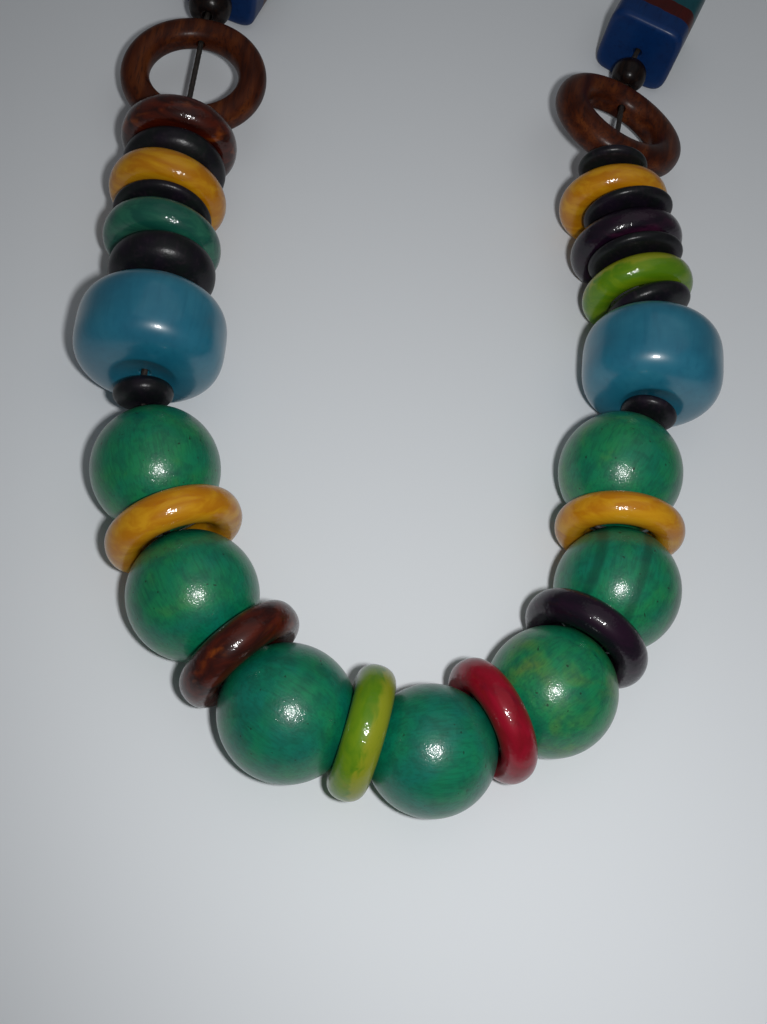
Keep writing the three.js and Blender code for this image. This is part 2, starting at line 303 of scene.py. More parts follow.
# %% Carry an outline round a bead
def turned_points(bead, outline, round_count, unevenness=0.002):
    """The outline carried round the bead's bore: side = r cos(u), top = r sin(u).

    r is first scaled by 1 + e (sin(2u + p + 0.1 a) + sin(3u + q - 0.07 a)), a hair out of
    round, with phases p and q of the bead's own.
    """
    u = np.linspace(0, 2 * np.pi, round_count, endpoint=False)[:, None]
    radius, along = outline[None, :, 0], outline[None, :, 1]
    first, second = random.uniform(0, 2 * np.pi, 2)
    waves = np.sin(2 * u + first + 0.1 * along) + np.sin(3 * u + second - 0.07 * along)
    radius = radius * (1 + unevenness * waves * (radius > bore + lip))
    points = placed(bead, radius * np.cos(u), along + 0 * u, radius * np.sin(u))
    return points.reshape(-1, 3)


def turned_bead(bead, count, round_count):
    """A bored bead of its form's fullness, as one mesh object."""
    outline = bored_outline(bead.form, bead.across, bead.thick, count)
    points = turned_points(bead, outline, round_count)
    return skin(bead.name + "_bead", points, wrapped_quads(round_count, len(outline)))


# Points along the outline, and columns round the bead.
pieces = {}
detail = {"ball": (112, 144), "barrel": (128, 160), "disc": (72, 120), "spacer": (48, 80)}
for name in strand:
    if beads[name].form in detail:
        pieces[name] = turned_bead(beads[name], *detail[beads[name].form])
print("bored beads:", len(pieces))

# %% [markdown]
# A ring is a doughnut that the cord holds between its neighbours. Its section is a little
# fuller than an ellipse. It could be a torus primitive, but the outline carried round the
# axis lets the section be any shape and makes each ring slightly uneven too.

# %% Rings
ring_section = 6.4
ring_fullness = 2.15
ring_columns = 144
ring_steps = 1600
ring_unevenness = 0.003


def ring_outline(across, width, thick, power, count=56):
    """A superellipse section: r = M + w c^(2/n), a = h s^(2/n), with signs kept.

    c and s are the cosine and sine round the section, w and h its half sizes, and M the
    distance from the ring's middle to the section's.
    """
    t = np.linspace(0, 2 * np.pi, ring_steps)
    cosine, sine = np.cos(t), np.sin(t)
    radius = (across - width) / 2 + width / 2 * np.sign(cosine) * np.abs(cosine) ** (2 / power)
    along = thick / 2 * np.sign(sine) * np.abs(sine) ** (2 / power)
    return spread(np.stack([radius, along], axis=1), count + 1)[:-1]


for name in strand:
    bead = beads[name]
    if bead.form == "ring":
        outline = ring_outline(bead.across, ring_section, bead.thick, ring_fullness)
        points = turned_points(bead, outline, ring_columns, ring_unevenness)
        quads = wrapped_quads(ring_columns, len(outline))
        pieces[name] = skin(name + "_bead", points, quads)
print("rings:", sum(beads[name].form == "ring" for name in pieces))

# %% [markdown]
# A hoop is a bigger, open ring that the cord crosses: it is drilled twice, through its
# near and its far side. A grid can't branch round such holes, so the drilling is a boolean
# with one long rod, applied at once. The edge of each hole is marked sharp, and the rest
# of the hoop stays smooth.

# %% Hoops
hoop_fullness = 2.3
hoop_columns = 168
hoop_rows = 64
rod_columns = 48
rod_tip = 0.001
rod_overhang = 4.0
sharp_angle = math.radians(35)


def hoop_points(bead):
    """The ring's surface with its axis along the bead's top and the cord across it.

    The section is carried round as side = r cos(u), along = r sin(u), and r is first
    scaled by 1 + 0.003 sin(2u + p) + 0.002 sin(5u), with a phase p of the hoop's own.
    """
    outline = ring_outline(bead.across, bead.thick, bead.thick, hoop_fullness, hoop_rows)
    u = np.linspace(0, 2 * np.pi, hoop_columns, endpoint=False)[:, None]
    radius, height = outline[None, :, 0], outline[None, :, 1]
    radius = radius * (1 + 0.003 * np.sin(2 * u + random.uniform(0, 6)) + 0.002 * np.sin(5 * u))
    return placed(bead, radius * np.cos(u), radius * np.sin(u), height + 0 * u)


def rod_points(bead):
    """A closed rod along the cord: circles of points that shrink to nothing at its ends."""
    length = bead.across + rod_overhang
    u = np.linspace(0, 2 * np.pi, rod_columns, endpoint=False)[None, :]
    along = np.array([-length, -length, length, length])[:, None] / 2 + 0 * u
    radius = np.array([rod_tip, bore, bore, rod_tip])[:, None]
    return placed(bead, radius * np.cos(u), along, radius * np.sin(u))


def drilled(piece, rod):
    """The piece with the rod's space taken out, and the rod removed."""
    cut = piece.modifiers.new("drill", "BOOLEAN")
    cut.operation = "DIFFERENCE"
    cut.object = rod
    view = bpy.context.evaluated_depsgraph_get()
    mesh = bpy.data.meshes.new_from_object(piece.evaluated_get(view))
    mesh.name = piece.name
    piece.modifiers.clear()
    piece.data = mesh
    bpy.data.objects.remove(rod)
    mesh.set_sharp_from_angle(angle=sharp_angle)
    return piece


for name in ("hoop_left", "hoop_right"):
    bead = beads[name]
    points = hoop_points(bead)
    hoop = skin(name + "_bead", points.reshape(-1, 3), wrapped_quads(*points.shape[:2]))
    points = rod_points(bead)
    rod = skin("rod", points.reshape(-1, 3), wrapped_quads(*points.shape[:2]))
    pieces[name] = drilled(hoop, rod)
    print(name, "faces", len(pieces[name].data.polygons))

# %% [markdown]
# A block is a square bar with soft edges, sawn off and eased at both ends. Its section is
# a superellipse given by angle, so the corners are round and the sides almost flat. Going
# over an end, the section shrinks, turns little by little into a circle and runs into
# the bore. A bevelled cube would round its edges too, but not the sides between them, and
# its bore would need another boolean.

# %% Blocks
block_power = 5.6
end_round = 1.5
block_columns = 128
side_rows = 20
edge_rows = 8
face_rows = 14
bore_rows = 12
rounding_power = 0.7


def block_points(bead, side_length):
    """Loops of points over one end, down the side, over the other end and up the bore.

    A loop at distance d in from the side is (h - d) / (|cos|^n + |sin|^n)^(1/n) out from
    the axis, where h is half the side's length. It is mixed with a circle of the radius
    h - d, by a share that grows from 0 at the end's edge to 1 at the bore's mouth.
    """
    h = side_length / 2
    half = bead.thick / 2
    quarter = np.linspace(0, np.pi / 2, edge_rows)[1:]
    face = np.linspace(0, 1, face_rows)[1:]
    mouth = h - bore - lip
    inset = np.concatenate([
        np.zeros(side_rows),
        end_round * (1 - np.cos(quarter)),
        end_round + (mouth - end_round) * face,
        mouth + lip * np.sin(quarter),
        np.full(bore_rows, h - bore),
    ])
    along = np.concatenate([
        np.linspace(0, half - end_round, side_rows),
        half - end_round * (1 - np.sin(quarter)),
        half + 0 * face,
        half - lip * (1 - np.cos(quarter)),
        np.linspace(half - lip, 0, bore_rows + 1)[1:],
    ])
    circle = ((inset - end_round) / (mouth - end_round)).clip(0, 1) ** rounding_power
    inset = np.concatenate([inset, inset[1:-1][::-1]])[:, None]
    along = np.concatenate([along, -along[1:-1][::-1]])[:, None]
    circle = np.concatenate([circle, circle[1:-1][::-1]])[:, None]
    u = np.linspace(0, 2 * np.pi, block_columns, endpoint=False)[None, :]
    square = np.abs(np.cos(u)) ** block_power + np.abs(np.sin(u)) ** block_power
    square = square ** (-1 / block_power)
    radius = (h - inset) * (square * (1 - circle) + circle)
    return placed(bead, radius * np.cos(u), along + 0 * u, radius * np.sin(u))


for name in ("block_left", "block_right"):
    bead = beads[name]
    low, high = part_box(name)
    points = block_points(bead, (high.z - low.z) / mm)
    pieces[name] = skin(name + "_bead", points.reshape(-1, 3), wrapped_quads(*points.shape[:2]))
print("blocks:", bead.thick.round(2), "mm long")

# %% [markdown]
# The cord runs straight through the bored beads, turning where two of them meet, and
# then lies in one loose loop on the table. Its way is worked out first, as a string of
# points. Through the beads the points come from the beads themselves. The stretch behind
# the blocks repeats the model's own points, which are given from the point where the
# strand's layout starts, and a smooth curve is drawn through them.

# %% Way of the cord
cord_radius = 0.65
stand_off = 0.5
touching = 2.0
block_from_start = np.array([-7.3, 250.4])
start = beads["block_left"].centre[:2] - block_from_start
behind = np.array([
    [108, 269, 4.5], [119, 300, 0.8], [108, 335, 0.8], [76, 357, 2], [56, 360, 3],
    [37, 353, 2], [8, 326, 0.8], [-6, 292, 0.8], [-5, 272, 4.5],
]) + [*start, 0]


def cord_point(name, side):
    """Just clear of one end of a bored bead, on its axis: side is -1 or 1."""
    bead = beads[name]
    length = bead.across if bead.form == "hoop" else bead.thick
    if bead.form in fullness:
        length = full_length(bead.form, bead.across, bead.thick)
    return bead.centre + bead.onward * side * (length / 2 + stand_off)


def smooth_curve(points, count=40):
    """A centripetal Catmull-Rom curve, with count steps between neighbouring points.

    Each stretch is a Hermite cubic. Its slopes at the two ends weigh the chords on either
    side by the square roots of their lengths, so the curve makes no loops.
    """
    before_first = 2 * points[0] - points[1]
    after_last = 2 * points[-1] - points[-2]
    points = np.concatenate([[before_first], points, [after_last]])
    knot = np.sum(np.diff(points, axis=0) ** 2, axis=1)[:, None] ** 0.25
    before, here, after = knot[:-2], knot[1:-1], knot[2:]
    p0, p1, p2, p3 = points[:-3], points[1:-2], points[2:-1], points[3:]
    slope1 = here * ((p1 - p0) / before - (p2 - p0) / (before + here) + (p2 - p1) / here)
    slope2 = here * ((p2 - p1) / here - (p3 - p1) / (here + after) + (p3 - p2) / after)
    t = np.linspace(0, 1, count, endpoint=False)[None, :, None]
    rise = 3 * t ** 2 - 2 * t ** 3
    curve = (
        p1[:, None] * (1 - rise) + p2[:, None] * rise
        + slope1[:, None] * (t ** 3 - 2 * t ** 2 + t) + slope2[:, None] * (t ** 3 - t ** 2)
    )
    return np.concatenate([curve.reshape(-1, 3), points[-2:-1]])


threaded = [name for name in strand if beads[name].form != "ring"]
through = [cord_point(threaded[0], -1)]
for name, following in zip(threaded, threaded[1:]):
    leaving, entering = cord_point(name, 1), cord_point(following, -1)
    apart = np.linalg.norm(entering - leaving)
    through += [leaving, entering] if apart > touching else [(leaving + entering) / 2]
through.append(cord_point(threaded[-1], 1))


def line_length(points):
    """How long the line through the points is."""
    return np.linalg.norm(np.diff(points, axis=0), axis=1).sum()


print("cord through the beads:", round(line_length(through)), "mm")

# %% [markdown]
# The clasp is a small blackened barrel that screws together, in the middle of the back
# loop. One fine groove shows where its two halves meet, and another near each end sets
# off a collar. Each groove is a bell curve taken off the outline, which is then turned
# like a bead's. Rings pressed in with a boolean would be sharper than worn metal is.

# %% Clasp
clasp_rows = 140
clasp_columns = 96
seam_depth = 0.28
seam_width = 0.3
collar_depth = 0.12
collar_width = 0.35
collar_place = 5.6

clasp = Bead("clasp", *solid_mesh("clasp"))
clasp.face(behind[-1] - behind[0])
clasp.onward = clasp.axes[1]
outline = bored_outline("clasp", clasp.across, clasp.thick, clasp_rows)
from_middle = np.abs(outline[:, 1])
seam = seam_depth * np.exp(-(from_middle / seam_width) ** 2)
collars = collar_depth * np.exp(-((from_middle - collar_place) / collar_width) ** 2)
outline[:, 0] -= (seam + collars) * (outline[:, 0] > bore + lip)
points = turned_points(clasp, outline, clasp_columns, 0)
pieces["clasp"] = skin("clasp_barrel", points, wrapped_quads(clasp_columns, len(outline)))
beads["clasp"] = clasp
print("clasp thick", clasp.thick.round(2), "across", clasp.across.round(2))

# %% [markdown]
# The cord is three waxed plies twisted together. A curve with a round bevel would give a
# plain wire. Here the section is a circle with three lobes that turns as it is carried
# along the way, which twists the plies. The cord starts and ends inside the clasp.

# %% Cord
ply_count = 3
ply_depth = 0.14
twist_length = 5.0
around = 24
cord_step = 0.5
smooth_over = 7
clasp_reach = np.array([1.0, clasp.thick / 2 + 1])
clear_of_clasp = clasp.thick / 2 + 2

back = smooth_curve(np.concatenate([[through[-1]], behind, [through[0]]]))
back[:, 2] = back[:, 2].clip(cord_radius)
near = np.linalg.norm(back - clasp.centre, axis=1) < clear_of_clasp
first, last = np.flatnonzero(near)[[0, -1]]
way = np.concatenate([
    clasp.centre + np.outer(clasp_reach, clasp.onward),
    back[last + 1:-1],
    through,
    back[1:first],
    clasp.centre - np.outer(clasp_reach[::-1], clasp.onward),
])
cord_length = line_length(way)
way = spread(way, int(cord_length / cord_step))
window = np.ones(smooth_over) / smooth_over
smoothed = np.stack([np.convolve(column, window, mode="same") for column in way.T], axis=1)
inner = slice(smooth_over - 1, 1 - smooth_over)
way[inner] = smoothed[inner]


def cord_points(way):
    """Round each point of the way: side cos(v) + top sin(v), times a lobed radius.

    The radius is R (1 - d + d |cos(n/2 (v - 2 pi s / L))|), where n plies leave grooves of
    depth d between them, s is the distance travelled and L the length in which the plies
    go once round. The second result is each point's place on the straightened cord.
    """
    tangent = unit(np.gradient(way, axis=0))
    side = unit(np.cross(tangent, up))[:, None]
    top = np.cross(side, tangent[:, None])
    v = np.linspace(0, 2 * np.pi, around, endpoint=False)[None, :, None]
    s = np.linspace(0, cord_length, len(way))[:, None, None]
    lobes = np.abs(np.cos(ply_count / 2 * (v - 2 * np.pi * s / twist_length)))
    radius = cord_radius * (1 - ply_depth + ply_depth * lobes)
    points = way[:, None] + radius * (side * np.cos(v) + top * np.sin(v))
    fibre = np.concatenate([radius * np.cos(v), s + 0 * v, radius * np.sin(v)], axis=2)
    return points, fibre


points, fibre = cord_points(way)
rows = len(way)
quads = wrapped_quads(rows, around)[: (rows - 1) * around]
rim = np.arange(around)
next_rim = np.roll(rim, -1)
last_circle = (rows - 1) * around
first_tip = np.full(around, rows * around)
start_fan = np.stack([first_tip, next_rim, rim], axis=1)
end_fan = np.stack([first_tip + 1, last_circle + rim, last_circle + next_rim], axis=1)
pieces["cord"] = skin(
    "waxed_cord",
    np.concatenate([points.reshape(-1, 3), way[[0, -1]]]),
    quads,
    np.concatenate([start_fan, end_fan]),
)
fibre = np.concatenate([fibre.reshape(-1, 3), [[0, 0, 0], [0, cord_length, 0]]])
print("cord:", round(cord_length), "mm")

# %% [markdown]
# The CAD beads are faceted, so a smooth bead of the same size stands a hair proud of the
# flats. A bead at the edge of the necklace is drawn in towards its middle, by a percent
# or two, until it lies inside the box of the whole CAD model. Shrinking every bead alike
# would open gaps between them.

# %% Fit the beads into the box
for name, bead in beads.items():
    mesh = pieces[name].data
    points = np.empty(3 * len(mesh.vertices))
    mesh.vertices.foreach_get("co", points)
    offsets = points.reshape(-1, 3) - bead.centre * mm
    low, high = (np.array(corner) - bead.centre * mm for corner in cad_bounds)
    room = min((low / offsets.min(axis=0)).min(), (high / offsets.max(axis=0)).min(), 1.0)
    mesh.vertices.foreach_set("co", (bead.centre * mm + offsets * room).ravel())
    mesh.update()
    if room < 1:
        print(name, "drawn in to", round(room, 4))

# %% [markdown]
# The finishes need to know where on its own bead each point is: wood grain runs along the
# bore, whichever way the bead lies. Each piece gets a vector attribute, "grain", its points
# on the bead's own axes in millimetres, moved by an amount of its own so that no two beads
# have the same figure. Texture coordinates could not turn with every bead like this.
# Some beads have numbers too. A ball has "tone" for how far its dye leans and "banding" for
# how much the wood's year rings show. A ring has "across", -1 at one face and 1 at the
# other. A block has "from_front", the millimetres from its front end.

# %% Attributes for the finishes
tone = {
    "ball_1": 0.03, "ball_2": -0.05, "ball_3": -0.14, "ball_4": -0.18, "ball_5": 0.12,
    "ball_6": -0.06, "ball_7": 0.02,
}
banding = {"ball_6": 0.6, "ball_3": 0.2}
faint_banding = 0.08
far_apart = 200


def set_attribute(piece, title, kind, field, values):
    """Stores one value for each vertex of the piece."""
    layer = piece.data.attributes.new(title, kind, "POINT")
    layer.data.foreach_set(field, np.ascontiguousarray(values, dtype=np.float32).ravel())


def own_coordinates(name):
    """The piece's points on its bead's side, along and top axes, in millimetres."""
    mesh = pieces[name].data
    points = np.empty(3 * len(mesh.vertices))
    mesh.vertices.foreach_get("co", points)
    return (points.reshape(-1, 3) / mm - beads[name].centre) @ beads[name].axes.T


for name, piece in pieces.items():
    place = fibre if name == "cord" else own_coordinates(name)
    shift = random.uniform(-far_apart, far_apart, 3)
    set_attribute(piece, "grain", "FLOAT_VECTOR", "vector", place + shift)
    if name.startswith("ball"):
        set_attribute(piece, "tone", "FLOAT", "value", np.full(len(place), tone[name]))
        bands = np.full(len(place), banding.get(name, faint_banding))
        set_attribute(piece, "banding", "FLOAT", "value", bands)
    if name.startswith("ring"):
        across = place[:, 1] * 2 / beads[name].thick
        set_attribute(piece, "across", "FLOAT", "value", across)
    if name.startswith("block"):
        from_front = beads[name].thick / 2 - place[:, 1]
        set_attribute(piece, "from_front", "FLOAT", "value", from_front)
print("pieces with a grain:", len(pieces))

# %% [markdown]
# Every finish starts from Blender's Principled surface with a clear coat for the lacquer.
# Wiring each material node by node would bury what it is made of. A few short calls say
# it in a maker's words instead: clouds of a given size in millimetres, colours picked
# along a scale, one colour laid over another, and a bump.


# %% A finish being mixed
class Finish:
    """A material on the bench. Sizes are in millimetres on the bead's own axes."""

    def __init__(self, slot, roughness, coat=0.0, coat_roughness=0.1, specular=0.5):
        self.material = bpy.data.materials.new(slot)
        self.material.use_nodes = True
        self.tree = self.material.node_tree
        self.shader = self.tree.nodes["Principled BSDF"]
        self.shader.inputs["Roughness"].default_value = roughness
        self.shader.inputs["Coat Weight"].default_value = coat
        self.shader.inputs["Coat Roughness"].default_value = coat_roughness
        self.shader.inputs["Specular IOR Level"].default_value = specular
        self.grain = self.attribute("grain", "Vector")

    def add(self, kind, inputs, output=0, **settings):
        """A node with its settings made and its inputs set or linked; returns one output."""
        node = self.tree.nodes.new(kind)
        for key, value in settings.items():
            setattr(node, key, value)
        for key, value in inputs.items():
            if isinstance(value, bpy.types.NodeSocket):
                self.tree.links.new(value, node.inputs[key])
            else:
                node.inputs[key].default_value = value
        return node.outputs[output]

    def attribute(self, title, output):
        """What the piece's attribute of this name holds: output is Vector, or Fac."""
        return self.add("ShaderNodeAttribute", {}, output, attribute_name=title)

    def clouds(self, size, stretch=(1, 1, 1), detail=2.0, warp=0.0):
        """Noise from 0 to 1, in blotches about size across, each axis pulled by stretch."""
        scale = [1 / (size * pull) for pull in stretch]
        place = self.add("ShaderNodeMapping", {"Vector": self.grain, "Scale": scale})
        return self.add("ShaderNodeTexNoise", {
            "Vector": place,
            "Scale": 1.0,
            "Detail": detail,
            "Distortion": warp,
        })

    def math(self, operation, a, b):
        """a and b added or multiplied."""
        return self.add("ShaderNodeMath", {0: a, 1: b}, operation=operation)

    def step(self, value, low, high, to_low=0.0, to_high=1.0):
        """to_low where value is under low, to_high where it is over high, eased between."""
        limits = {"From Min": low, "From Max": high, "To Min": to_low, "To Max": to_high}
        return self.add(
            "ShaderNodeMapRange", {"Value": value, **limits}, interpolation_type="SMOOTHSTEP"
        )

    def scale_of(self, value, *stops):
        """A colour picked by value from (place, (red, green, blue)) stops."""
        node = self.tree.nodes.new("ShaderNodeValToRGB")
        elements = node.color_ramp.elements
        elements.remove(elements[1])
        for number, (place, colour) in enumerate(stops):
            element = elements.new(place) if number else elements[0]
            element.position = place
            element.color = (*colour, 1)
        self.tree.links.new(value, node.inputs[0])
        return node.outputs[0]

    def over(self, share, under, above, blend="MIX"):
        """above laid over under by share."""
        colour = {6: under, 7: above}
        colour = {key: (*c, 1) if isinstance(c, tuple) else c for key, c in colour.items()}
        return self.add(
            "ShaderNodeMix", {0: share, **colour}, 2, data_type="RGBA", blend_type=blend
        )

    def bump(self, height, depth, below=None):
        """Raises height by depth millimetres, on top of another bump."""
        inputs = {"Height": height, "Strength": 1.0, "Distance": depth * mm}
        if below:
            inputs["Normal"] = below
        return self.add("ShaderNodeBump", inputs)

    def lacquer_bump(self, size, depth):
        """Orange peel in the lacquer: dimples of a given size and depth, and slower waves."""
        waves = self.bump(self.clouds(4 * size, detail=1), 1.5 * depth)
        return self.bump(self.clouds(size, detail=1), depth, waves)

    def done(self, colour, normal, lacquer):
        """Wires the colour and the bumps of the wood and of the lacquer."""
        self.tree.links.new(colour, self.shader.inputs["Base Color"])
        self.tree.links.new(normal, self.shader.inputs["Normal"])
        self.tree.links.new(lacquer, self.shader.inputs["Coat Normal"])
        print(self.material.name, "nodes:", len(self.tree.nodes))
        return self.material


finishes = {}

# %% [markdown]
# The balls are beech or a like pale wood, dyed green before the lacquer. The dye takes
# unevenly: blue-green on some balls and yellow-green on others, olive where the wood is
# resinous, with fine darker grain and a few specks. The lacquer is satin with a slight
# orange peel, so a lamp shows in it as a broad spot with a sparkle. One material serves
# all seven, because what differs between them comes from their attributes.

# %% Green wood
green = Finish("green_wood", roughness=0.4, coat=0.5, coat_roughness=0.15, specular=0.3)
lean = green.step(green.clouds(8, detail=3, warp=0.4), 0.2, 0.8, 0.3, 0.7)
lean = green.math("ADD", lean, green.attribute("tone", "Fac"))
dye = green.scale_of(
    lean,
    (0.22, (0.001, 0.140, 0.096)),
    (0.42, (0.001, 0.165, 0.078)),
    (0.60, (0.006, 0.185, 0.064)),
    (0.74, (0.045, 0.185, 0.044)),
    (0.92, (0.140, 0.155, 0.032)),
)
mottle = green.clouds(2.6, detail=4, warp=0.6)
dye = green.over(green.step(mottle, 0.40, 0.72, 0.0, 0.55), dye, (0.001, 0.080, 0.052))
lines = green.clouds(0.45, stretch=(1, 9, 1), detail=3, warp=0.4)
dye = green.over(green.step(lines, 0.42, 0.70, 0.0, 0.38), dye, (0.001, 0.060, 0.036))
year_rings = green.add("ShaderNodeTexWave", {
    "Vector": green.grain,
    "Scale": 0.035,
    "Distortion": 9.0,
    "Detail": 1.0,
    "Detail Scale": 0.4,
}, 1, bands_direction="X")
year_rings = green.step(year_rings, 0.80, 1.0)
bands = green.math("MULTIPLY", year_rings, green.attribute("banding", "Fac"))
dye = green.over(bands, dye, (0.001, 0.045, 0.026))
specks = green.step(green.clouds(1.1, detail=1), 0.74, 0.78, 0.0, 0.8)
dye = green.over(specks, dye, (0.004, 0.022, 0.012))
normal = green.bump(green.clouds(0.5, detail=1), 0.035, green.bump(lines, 0.006))
finishes["green_wood"] = green.done(dye, normal, green.lacquer_bump(0.32, 0.055))

# %% [markdown]
# The barrels are lacquered turquoise over the wood, thick enough to hide nearly all of the
# grain. A single colour would look like plastic, so the depth of colour changes slowly
# over the bead, and faint streaks of the grain remain.

# %% Blue lacquer
blue = Finish("blue_lacquer", roughness=0.35, coat=0.6, coat_roughness=0.15, specular=0.5)
depth = blue.clouds(8, detail=3)
paint = blue.scale_of(
    depth,
    (0.30, (0.006, 0.110, 0.180)),
    (0.50, (0.010, 0.135, 0.210)),
    (0.75, (0.022, 0.165, 0.240)),
)
streaks = blue.clouds(1.2, stretch=(1, 9, 1), detail=3)
paint = blue.over(blue.step(streaks, 0.45, 0.8, 0.0, 0.3), paint, (0.002, 0.080, 0.140))
finishes["blue_lacquer"] = blue.done(
    paint, blue.bump(streaks, 0.004), blue.lacquer_bump(0.5, 0.014)
)

# %% [markdown]
# The discs and the small beads beside the barrels are dyed nearly black. What shows on
# them is mostly lacquer: a soft grey gleam with a cast of purple, blue or grey-green. So
# the coat is rougher than on the balls, and the surface under it hardly reflects. The two
# small beads between the hoops and the blocks are browner.

# %% Dark wood
dark = Finish("dark_wood", roughness=0.5, coat=0.45, coat_roughness=0.3, specular=0.05)
cast = dark.scale_of(
    dark.clouds(5, detail=2),
    (0.30, (0.009, 0.005, 0.012)),
    (0.50, (0.005, 0.005, 0.007)),
    (0.70, (0.006, 0.009, 0.008)),
)
lines = dark.clouds(0.8, stretch=(1, 6, 1), detail=3)
cast = dark.over(dark.step(lines, 0.5, 0.75, 0.0, 0.5), cast, (0.022, 0.014, 0.020))
finishes["dark_wood"] = dark.done(cast, dark.bump(lines, 0.01), dark.lacquer_bump(0.5, 0.030))

small = Finish("black_brown_wood", roughness=0.5, coat=0.35, coat_roughness=0.24, specular=0.05)
lines = small.clouds(0.8, stretch=(1, 6, 1), detail=3)
cast = small.over(small.step(lines, 0.4, 0.7), (0.004, 0.002, 0.002), (0.012, 0.005, 0.003))
finishes["black_brown_wood"] = small.done(
    cast, small.bump(lines, 0.01), small.lacquer_bump(0.5, 0.025)
)

# %% [markdown]
# The hoops are stained a dark red-brown under satin lacquer, and the wood shows through:
# orange-brown streaks run along the grain, which goes straight across the hoop, as it was
# cut from a board. Noise stretched along one axis gives such streaks.

# %% Hoop wood
hoop = Finish("hoop_wood", roughness=0.5, coat=0.2, coat_roughness=0.28, specular=0.1)
figure = hoop.clouds(2.4, stretch=(1, 8, 1), detail=4, warp=0.5)
stain = hoop.scale_of(
    figure,
    (0.30, (0.026, 0.004, 0.001)),
    (0.50, (0.060, 0.011, 0.002)),
    (0.74, (0.120, 0.029, 0.005)),
)
pores = hoop.clouds(0.45, stretch=(1, 12, 1), detail=2)
stain = hoop.over(hoop.step(pores, 0.5, 0.72, 0.0, 0.7), stain, (0.014, 0.003, 0.002))
finishes["hoop_wood"] = hoop.done(
    stain, hoop.bump(pores, 0.015), hoop.lacquer_bump(0.6, 0.020)
)

# %% [markdown]
# The rings are dyed wood too, polished brighter. All six colours are mixed in one way: a
# ground, a second colour in streaks across the ring, a few patches of a third, and fine
# pores. A recipe for each colour says which colours they are and how much of the ring
# they take.

# %% Ring finishes
figure_size = 2.6


def ring_finish(slot, ground, streak, patch, patch_share, edge):
    """A glossy ring: ground colour, streaks over it, patches where clouds pass a limit.

    An edge colour, where there is one, takes the side of the ring that faces on along the
    cord, with a wavering border.
    """
    ring = Finish(slot, roughness=0.4, coat=0.7, coat_roughness=0.11, specular=0.1)
    figure = ring.clouds(figure_size, stretch=(4, 1, 1), detail=4, warp=0.6)
    colour = ring.over(ring.step(figure, 0.35, 0.68), ground, streak)
    blotch = ring.clouds(figure_size * 1.7, stretch=(2, 1, 1), detail=3, warp=0.4)
    limit = 0.75 - 0.4 * patch_share
    colour = ring.over(ring.step(blotch, limit, limit + 0.2, 0, 0.8), colour, patch)
    if edge:
        waver = ring.step(figure, 0.0, 1.0, -0.5, 0.5)
        side = ring.math("ADD", ring.attribute("across", "Fac"), waver)
        colour = ring.over(ring.step(side, 0.0, 0.35, 0.0, 0.85), colour, edge)
    pores = ring.clouds(0.4, stretch=(8, 1, 1), detail=2)
    colour = ring.over(ring.step(pores, 0.55, 0.78, 0, 0.3), colour, ground)
    return ring.done(colour, ring.bump(pores, 0.006), ring.lacquer_bump(0.5, 0.075))


# Each recipe is the ground, the streaks, the patches and the patches' share of the ring.
yellow_edge = (0.240, 0.255, 0.012)
ring_recipes = {
    "yellow_ring": [(0.420, 0.155, 0.001), (0.540, 0.260, 0.006), (0.340, 0.095, 0.001), 0.35],
    "brown_ring": [(0.018, 0.002, 0.001), (0.070, 0.007, 0.001), (0.240, 0.050, 0.002), 0.5],
    "sea_green_ring": [(0.006, 0.070, 0.050), (0.018, 0.125, 0.075), (0.004, 0.050, 0.050), 0.4],
    "lime_ring": [(0.075, 0.180, 0.003), (0.130, 0.225, 0.004), (0.180, 0.215, 0.006), 0.4],
    "crimson_ring": [(0.180, 0.001, 0.008), (0.250, 0.001, 0.014), (0.090, 0.002, 0.010), 0.4],
    "purple_ring": [(0.005, 0.002, 0.007), (0.012, 0.002, 0.011), (0.045, 0.008, 0.026), 0.4],
}
edge_of = {"lime_ring": yellow_edge}
for slot, recipe in ring_recipes.items():
    finishes[slot] = ring_finish(slot, *recipe, edge_of.get(slot))
print("ring finishes:", len(ring_recipes))

# %% [markdown]
# A block is painted in three bands across its length: cobalt at the front, a narrower
# brown-red stripe, then turquoise to the back. Three materials on one mesh would give
# jagged borders. One material that measures from the front end gives edges that waver
# slightly, as a brush leaves them.

# %% Banded block
cobalt_end = 6.2
stripe_end = 10.8
border = 0.3
wavering = 0.35

band = Finish("banded_block", roughness=0.45, coat=0.2, coat_roughness=0.24, specular=0.15)
waver = band.step(band.clouds(3, detail=2), 0.0, 1.0, -wavering, wavering)
reach = band.math("ADD", band.attribute("from_front", "Fac"), waver)
tint = band.clouds(4, detail=3)
cobalt = band.over(tint, (0.001, 0.014, 0.075), (0.001, 0.032, 0.135))
stripe = band.over(tint, (0.026, 0.002, 0.001), (0.070, 0.004, 0.003))
turquoise = band.over(tint, (0.003, 0.045, 0.062), (0.007, 0.080, 0.095))
paint = band.over(band.step(reach, cobalt_end, cobalt_end + border), cobalt, stripe)
paint = band.over(band.step(reach, stripe_end, stripe_end + border), paint, turquoise)
fine = band.clouds(0.8, stretch=(1, 7, 1), detail=3)
paint = band.over(band.step(fine, 0.5, 0.8, 0, 0.35), paint, (0.10, 0.10, 0.12), "MULTIPLY")
finishes["banded_block"] = band.done(
    paint, band.bump(fine, 0.006), band.lacquer_bump(0.7, 0.015)
)

# %% [markdown]
# The cord is black-brown cotton, waxed so that it holds its twist: dull, with paler
# fibres. Its grain attribute is its place on the straightened cord, so the fibres follow
# every bend. The clasp is blackened metal with a low shine and fine turning marks, which
# are noise stretched round it.

